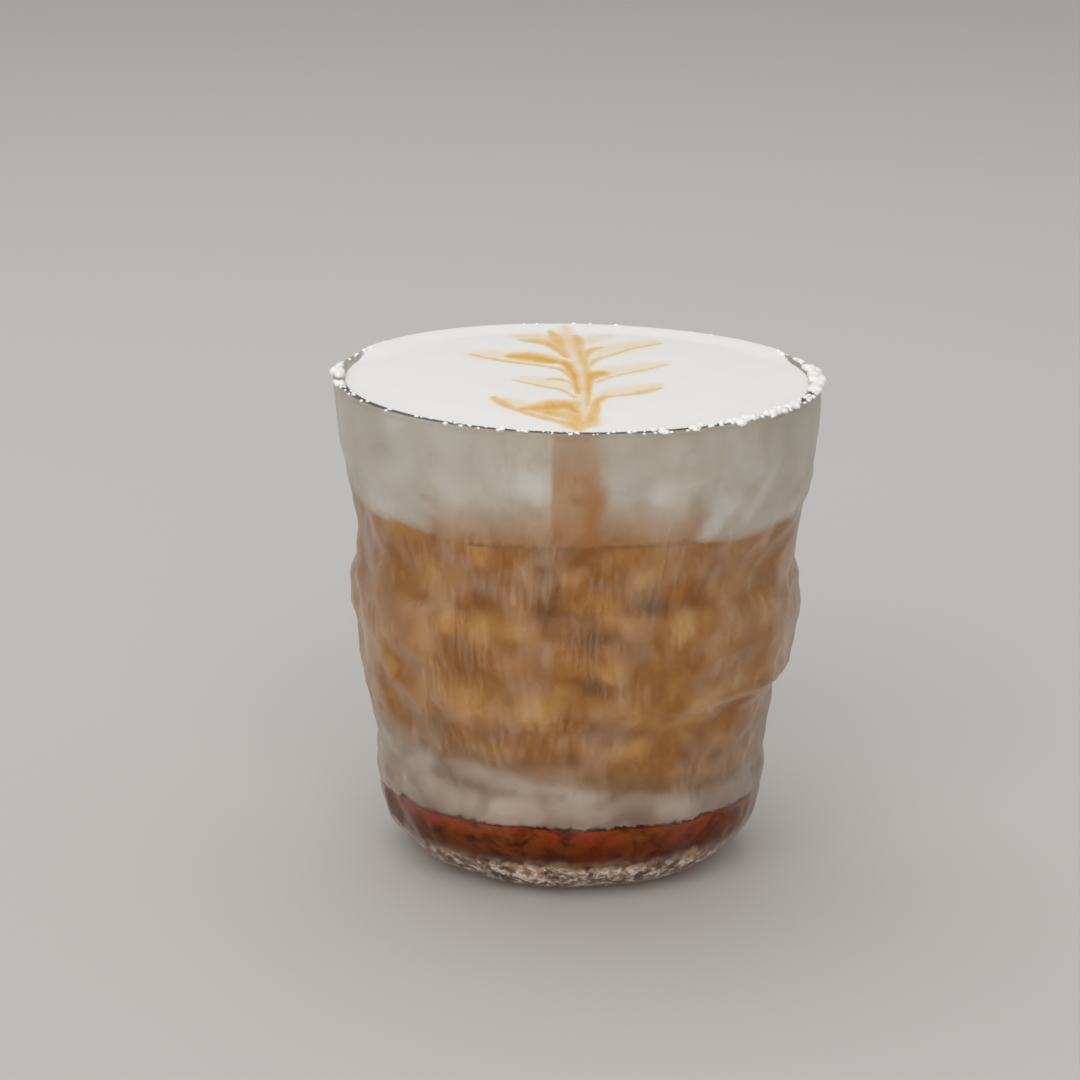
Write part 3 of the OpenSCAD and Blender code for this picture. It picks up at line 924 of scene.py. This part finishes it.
# Soft pale washes beside the strokes, and the pale stem, in the same way.
WASHES = (
    (0.24, ((-2, 37, 0.9), (-1.2, 25, 1.4), (0, 10, 1.5), (0.7, -4, 1.3), (1, -18, 1.2),
            (1, -32, 1.3))),
    (0.22, ((-10.5, 30, 1.0), (-7, 28.5, 2.4), (-4, 25.5, 1.6))),
    (0.17, ((-18.5, 14, 1.0), (-15, 12.5, 2.6), (-9, 11, 2.8), (-3, 8, 1.6))),
    (0.18, ((14.5, 27, 1.0), (10, 22.5, 2.2), (6, 18, 2.6), (2.8, 13, 1.4))),
    (0.15, ((15, 8, 0.9), (10.5, 4, 2.0), (6, 0.5, 2.2), (3, -4, 1.2))),
    (0.18, ((13.5, -9, 0.8), (9.5, -12.5, 1.8), (5.4, -15.4, 1.6), (3.4, -20, 1.2))),
    (0.15, ((-9, -5, 1.0), (-5, -8, 2.0), (-1.2, -12, 1.8))),
    (0.17, ((5.8, 32, 0.9), (3.7, 29.5, 1.6), (1.2, 23, 1.2))),
    (0.2, ((-12, -21, 1.2), (-8, -26.5, 2.0), (-3, -28, 2.4), (1, -33, 2.0))),
)
# The pale line down the middle of the stem, where no caramel lies, in the same way.
STEM = (
    (0.75, ((-2, 37, 0.4), (-1.2, 25, 0.6), (0, 10, 0.6), (0.7, -4, 0.6), (1, -18, 0.55),
            (1, -33, 0.35))),
)
STROKE_STEPS = 6
# How closely the foam's points crowd to the front and the back, where the feather's stem runs.
FEATHER_CROWD = 0.35
# How far past its half width a crisp stroke and a soft wash still show.
STROKE_FADE = 2.3
WASH_FADE = 2.6


def smooth_path(knots):
    """A Catmull-Rom curve through knots, as an array of x, y and half width."""
    knots = np.array(knots)
    padded = np.vstack([2 * knots[0] - knots[1], knots, 2 * knots[-1] - knots[-2]])
    t = np.linspace(0, 1, STROKE_STEPS, endpoint=False)[:, None]
    runs = [
        0.5 * (2 * b + (c - a) * t + (2 * a - 5 * b + 4 * c - d) * t ** 2
               + (3 * b - a - 3 * c + d) * t ** 3)
        for a, b, c, d in zip(padded, padded[1:], padded[2:], padded[3:])
    ]
    return np.vstack([*runs, knots[-1:]])


def drawn(cover, x, y, strokes, fade):
    """Adds strokes to the cover of caramel at points, each fading out past its half width."""
    for strength, knots in strokes:
        path = smooth_path(knots)
        margin = fade * path[:, 2].max()
        near = np.flatnonzero((x > path[:, 0].min() - margin) & (x < path[:, 0].max() + margin)
                              & (y > path[:, 1].min() - margin) & (y < path[:, 1].max() + margin))
        px, py = x[near], y[near]
        best = np.zeros(len(near))
        for (ax, ay, aw), (bx, by, bw) in zip(path, path[1:]):
            run = max((bx - ax) ** 2 + (by - ay) ** 2, 1e-9)
            t = np.clip(((px - ax) * (bx - ax) + (py - ay) * (by - ay)) / run, 0, 1)
            gap = np.hypot(px - ax - t * (bx - ax), py - ay - t * (by - ay))
            best = np.maximum(best, 1 - gap / (fade * (aw + (bw - aw) * t)))
        cover[near] = np.maximum(cover[near], strength * ease(best))


def caramel_cover(x, y):
    """How much caramel lies at points of the foam's top, from 0 to 1."""
    washes, strokes, stem = np.zeros((3, len(x)))
    drawn(washes, x, y, WASHES, WASH_FADE)
    drawn(strokes, x, y, STROKES, STROKE_FADE)
    drawn(stem, x, y, STEM, STROKE_FADE)
    strokes *= 1 - stem
    return strokes + washes * (1 - strokes)


# The foam's top is no further than this below its edge, and no nearer than this to the foam's side.
TOP_BAND = 0.2
WALL_GAP = 0.05
# Height of the foam's faint unevenness.
FOAM_SWELL = 0.05

# How far the foam spills over the lip at the back, outwards and upwards, the angles in degrees over
# which each end of the spill fades in, and how far from the bore it begins and is full.
SPILL_WIDTH = 1.7
SPILL_RISE = 0.78
SPILL_RIGHT = (18, 32)
SPILL_LEFT = (165, 151)
SPILL_ACROSS = (-5, 0.2)


def spilled(angle, radius, z):
    """How far points of the foam have spilled over the lip, from 0 to 1."""
    degrees = np.degrees(angle)
    spill = eased(degrees, *SPILL_RIGHT) * eased(degrees, *SPILL_LEFT)
    beyond = eased(radius - bore_radius(FOAM_EDGE), *SPILL_ACROSS)
    return spill * beyond * (z > FOAM_EDGE - TOP_BAND)


# The haze on the coffee at the front: the angles in degrees over which each of its ends fades in,
# then how deep it is, how high it stands and how fast it thins. Elsewhere there is a low fringe.
HAZE_RIGHT = (-54, -60)
HAZE_LEFT = (-132, -126)
HAZE_DEPTH, HAZE_HEIGHT, HAZE_POWER = 0.95, 8.5, 0.7
FRINGE_DEPTH, FRINGE_HEIGHT = 0.6, 1.6
# The brown streak down the front: its edges along X, its depth, and how much thinner it is between
# two heights near the lip. It bulges to the right where the coffee has run together.
STREAK_LEFT = (-4.5, -3.6)
STREAK_RIGHT = (5.2, 1.7)
STREAK_DEPTH, STREAK_THINNED = 0.9, 0.35
STREAK_THINS = (75, 81)
BULGE_LEVEL, BULGE_HEIGHT = 74, 4


def foam_marks(angle, radius, z, rise):
    """Where on its wall the foam has its haze, and how deep the haze and the streak lie."""
    ragged = np.degrees(angle) + 1.2 * np.sin(rise / 1.1) + 0.8 * np.sin(rise / 0.45)
    front = eased(ragged, *HAZE_LEFT) * eased(ragged, *HAZE_RIGHT)
    height = HAZE_HEIGHT + 0.8 * np.sin(7 * angle) + 0.5 * np.sin(17 * angle)
    haze = np.maximum(HAZE_DEPTH * front * np.clip(1 - rise / height, 0, 1) ** HAZE_POWER,
                      FRINGE_DEPTH * np.clip(1 - rise / FRINGE_HEIGHT, 0, 1))
    x, y = radius * np.cos(angle), radius * np.sin(angle)
    bulge = np.exp(-((z - BULGE_LEVEL) / BULGE_HEIGHT) ** 2) + 0.5 * np.sin(z * 0.8)
    streak = eased(x, *STREAK_LEFT) * eased(x - bulge, *STREAK_RIGHT) * (y < 0)
    return front, haze, streak * (STREAK_DEPTH - STREAK_THINNED * eased(z, *STREAK_THINS))


# ---- the flecks on the lip ----

# From and to which angle in degrees, how many, and their smallest and largest radius.
FLECKS = (
    (168, 178, 7, 0.4, 0.8), (178, 184, 9, 0.7, 1.2), (184, 204, 12, 0.3, 0.75),
    (146, 156, 8, 0.35, 0.7), (158, 170, 8, 0.2, 0.4), (204, 236, 9, 0.2, 0.5),
    (236, 262, 22, 0.2, 0.45), (262, 276, 16, 0.15, 0.35), (276, 292, 22, 0.25, 0.55),
    (292, 306, 22, 0.3, 0.6), (306, 332, 62, 0.35, 0.8), (332, 346, 16, 0.3, 0.6),
    (346, 372, 60, 0.5, 1.15), (12, 34, 14, 0.3, 0.6), (34, 64, 10, 0.2, 0.4),
    (76, 110, 14, 0.2, 0.45),
)
# How far a fleck may lie inwards and outwards of the middle of the lip.
FLECK_PLACE = (-0.35, 0.85)
# The lip's top falls off by this for each square of the distance from its middle.
LIP_FALL = 0.45
# A fleck larger than this has more faces.
LARGE_FLECK = 0.45


def add_fleck(bm, chance, low, high, smallest, largest):
    """Adds one lumpy fleck, longer round the lip than across it and sunk a little into it."""
    angle = math.radians(chance.uniform(low, high))
    size = smallest + (largest - smallest) * chance.random() ** 1.5
    out = chance.uniform(*FLECK_PLACE)
    made = bmesh.ops.create_icosphere(
        bm, subdivisions=2 if size > LARGE_FLECK else 1, radius=size * MM)["verts"]
    stretch = chance.uniform(1, 1.6)
    for vert in made:
        vert.co *= chance.uniform(0.75, 1.2)
        vert.co.y *= stretch
        vert.co.z *= 0.7
    middle = Vector((LIP_RADIUS - LIP_WALL / 2 + out, 0, GLASS_HEIGHT - LIP_FALL * out ** 2
                     + size * 0.3)) * MM
    turn = Matrix.Rotation(angle, 4, "Z")
    bmesh.ops.transform(bm, verts=made, matrix=turn @ Matrix.Translation(middle))


# ---- the stage, in metres and degrees ----

FLOOR_HALF = 4
# Size and place of each soft light.
OVERHEAD_LIGHT = (0.9, (-0.12, 0.35, 0.95))
FRONT_LIGHT = (2.6, (-0.3, -1.9, 1.0))
# The camera: its lens and sensor in millimetres, its place, how far it looks down, and its roll.
LENS, SENSOR = 122, 36
EYE = (-0.006, -0.612, 0.2265)
LOOK_DOWN, ROLL = 15.6, 0.75


# ---- operators ----


class LATTE_OT_tumbler(bpy.types.Operator):
    """Makes the hammered glass tumbler"""

    bl_idname = "latte.tumbler"
    bl_label = "Tumbler"

    def execute(self, context):
        settings = context.scene.latte_glass
        bm = spun(tumbler_profile(), TUMBLER_STEPS)
        thing = piece(bm, "hammered_tumbler", frosted_glass(settings), "tumbler")
        points = points_of(thing.data)
        x, y, z = points.T / MM
        out = np.hypot(x, y)
        lip_start = GLASS_HEIGHT - LIP_ROUND
        beyond_bore = (out > bore_radius(z) + LIP_ROUND) | (z < FLOOR_LEVEL - SNAP)
        outer = beyond_bore & (z > SNAP) & (z < lip_start + SNAP)
        ridge = np.zeros(len(points))
        points[outer], ridge[outer] = hammered(points[outer], settings)
        put_points(thing.data, points)
        wall = eased(z, *EVEN_FROST)
        inner_lip = (z > lip_start - DARK_DROP) & (out < LIP_RADIUS - DARK_INSET * LIP_WALL)
        put_attribute(thing.data, "wall", wall)
        put_attribute(thing.data, "ridge", ridge * wall)
        put_attribute(thing.data, "amber", np.where(outer, eased(z, *AMBER_HEEL), 0))
        # The heel carries painted glints in its white clumps and a painted red-brown refraction
        # between them.
        put_attribute(thing.data, "heel", np.where(outer, eased(z, *CLUMPED_HEEL), 0))
        # The lip's inner edge is painted darker at the front.
        lip_dark = eased(y / LIP_RADIUS, *DARKENED_LIP)
        put_attribute(thing.data, "lip", np.where(inner_lip, lip_dark, 0))
        return {"FINISHED"}


class LATTE_OT_drink(bpy.types.Operator):
    """Makes the syrup, the milk and the coffee"""

    bl_idname = "latte.drink"
    bl_label = "Syrup, milk and coffee"

    def execute(self, context):
        settings = context.scene.latte_drink
        layer("syrup_layer", "syrup", syrup_material(settings),
              FLOOR_LEVEL, SYRUP_TOP, floor_level, syrup_level)
        layer("milk_layer", "milk", milk_material(settings),
              SYRUP_TOP, MILK_TOP, syrup_level, milk_level)
        layer("coffee_layer", "coffee", coffee_material(settings),
              MILK_TOP, COFFEE_TOP, milk_level, coffee_level)
        return {"FINISHED"}


class LATTE_OT_foam(bpy.types.Operator):
    """Makes the foam with its drawn feather"""

    bl_idname = "latte.foam"
    bl_label = "Foam and feather"

    def execute(self, context):
        settings = context.scene.latte_foam
        thing = layer("milk_foam", "foam", foam_material(settings), COFFEE_TOP, FOAM_EDGE,
                      coffee_level, foam_level, steps=480, across=150, crowd=FEATHER_CROWD)
        x, y, z = points_of(thing.data).T / MM
        angle, radius = np.arctan2(y, x), np.hypot(x, y)
        rise = np.empty(len(z))
        thing.data.attributes["rise"].data.foreach_get("value", rise)
        rim = bore_radius(FOAM_EDGE) + WALL_BITE
        on_top = (z > FOAM_EDGE - TOP_BAND) & (radius < rim - WALL_GAP)
        cover = np.where(on_top, caramel_cover(x, y), 0)
        swell = FOAM_SWELL * np.sin(x / 3 + np.sin(y / 4)) * np.sin(y / 2.6)
        spill = spilled(angle, radius, z)
        top = z - settings.groove * cover + np.where(on_top, swell, 0) + SPILL_RISE * spill
        put_points(thing.data, around(radius + SPILL_WIDTH * spill, angle, top))
        front, haze, streak = foam_marks(angle, radius, z, rise / MM)
        put_attribute(thing.data, "stroke", cover)
        put_attribute(thing.data, "side", np.where(on_top, 0.0, 1.0))
        put_attribute(thing.data, "front", front)
        put_attribute(thing.data, "haze", haze)
        put_attribute(thing.data, "streak", streak)
        return {"FINISHED"}


class LATTE_OT_flecks(bpy.types.Operator):
    """Scatters flecks of foam along the lip"""

    bl_idname = "latte.flecks"
    bl_label = "Flecks on the lip"

    def execute(self, context):
        chance = random.Random(context.scene.latte_foam.fleck_seed)
        bm = bmesh.new()
        for low, high, count, smallest, largest in FLECKS:
            for _ in range(count):
                add_fleck(bm, chance, low, high, smallest, largest)
        piece(bm, "foam_flecks", fleck_material())
        return {"FINISHED"}


class LATTE_OT_stage(bpy.types.Operator):
    """Sets the floor, the soft lights and the camera"""

    bl_idname = "latte.stage"
    bl_label = "Stage"

    def execute(self, context):
        settings = context.scene.latte_stage
        bm = bmesh.new()
        bmesh.ops.create_grid(bm, x_segments=2, y_segments=2, size=FLOOR_HALF)
        mesh = bpy.data.meshes.new("floor")
        bm.to_mesh(mesh)
        bm.free()
        mesh.materials.append(floor_material(settings))
        floor = bpy.data.objects.new("floor", mesh)
        context.scene.collection.objects.link(floor)
        self.soft_light(context, "overhead", settings.key_power, *OVERHEAD_LIGHT)
        self.soft_light(context, "front", settings.fill_power, *FRONT_LIGHT)
        world = bpy.data.worlds.new("room")
        world.use_nodes = True
        background = world.node_tree.nodes["Background"]
        background.inputs["Color"].default_value = (1, 1, 1, 1)
        background.inputs["Strength"].default_value = settings.room
        context.scene.world = world
        context.scene.view_settings.view_transform = "Standard"
        self.camera(context)
        return {"FINISHED"}

    def soft_light(self, context, name, power, size, place):
        """A square soft light that faces the middle of the glass."""
        data = bpy.data.lights.new(name, "AREA")
        data.energy = power
        data.size = size
        light = bpy.data.objects.new(name, data)
        light.location = place
        aim = Vector((0, 0, GLASS_HEIGHT / 2 * MM)) - Vector(place)
        light.rotation_euler = aim.to_track_quat("-Z", "Y").to_euler()
        context.scene.collection.objects.link(light)

    def camera(self, context):
        """A long lens a little above the glass, turned a shade anticlockwise."""
        data = bpy.data.cameras.new("camera")
        data.lens = LENS
        data.sensor_width = SENSOR
        data.clip_start = 0.01
        eye = bpy.data.objects.new("camera", data)
        pitch = Matrix.Rotation(math.radians(90 - LOOK_DOWN), 4, "X")
        roll = Matrix.Rotation(math.radians(ROLL), 4, "Z")
        eye.matrix_world = Matrix.Translation(EYE) @ pitch @ roll
        context.scene.collection.objects.link(eye)
        context.scene.camera = eye


OPERATORS = (
    LATTE_OT_tumbler,
    LATTE_OT_drink,
    LATTE_OT_foam,
    LATTE_OT_flecks,
    LATTE_OT_stage,
)


class LATTE_PT_panel(bpy.types.Panel):
    """Lists the pieces of the latte"""

    bl_idname = "LATTE_PT_panel"
    bl_label = "Layered Iced Latte"
    bl_space_type = "VIEW_3D"
    bl_region_type = "UI"
    bl_category = "Latte"

    def draw(self, context):
        for name in SETTINGS:
            group = getattr(context.scene, name)
            box = self.layout.box()
            for key in group.__annotations__:
                box.prop(group, key)
        for operator in OPERATORS:
            self.layout.operator(operator.bl_idname)


SETTINGS = {
    "latte_glass": LatteGlassSettings,
    "latte_drink": LatteDrinkSettings,
    "latte_foam": LatteFoamSettings,
    "latte_stage": LatteStageSettings,
}
CLASSES = (*SETTINGS.values(), *OPERATORS, LATTE_PT_panel)


def register():
    for cls in CLASSES:
        bpy.utils.register_class(cls)
    for name, cls in SETTINGS.items():
        setattr(bpy.types.Scene, name, PointerProperty(type=cls))


def unregister():
    for name in SETTINGS:
        delattr(bpy.types.Scene, name)
    for cls in reversed(CLASSES):
        bpy.utils.unregister_class(cls)


def main():
    register()
    bpy.ops.latte.tumbler()
    bpy.ops.latte.drink()
    bpy.ops.latte.foam()
    bpy.ops.latte.flecks()
    bpy.ops.latte.stage()
    bpy.context.view_layer.update()


if __name__ == "__main__":
    main()
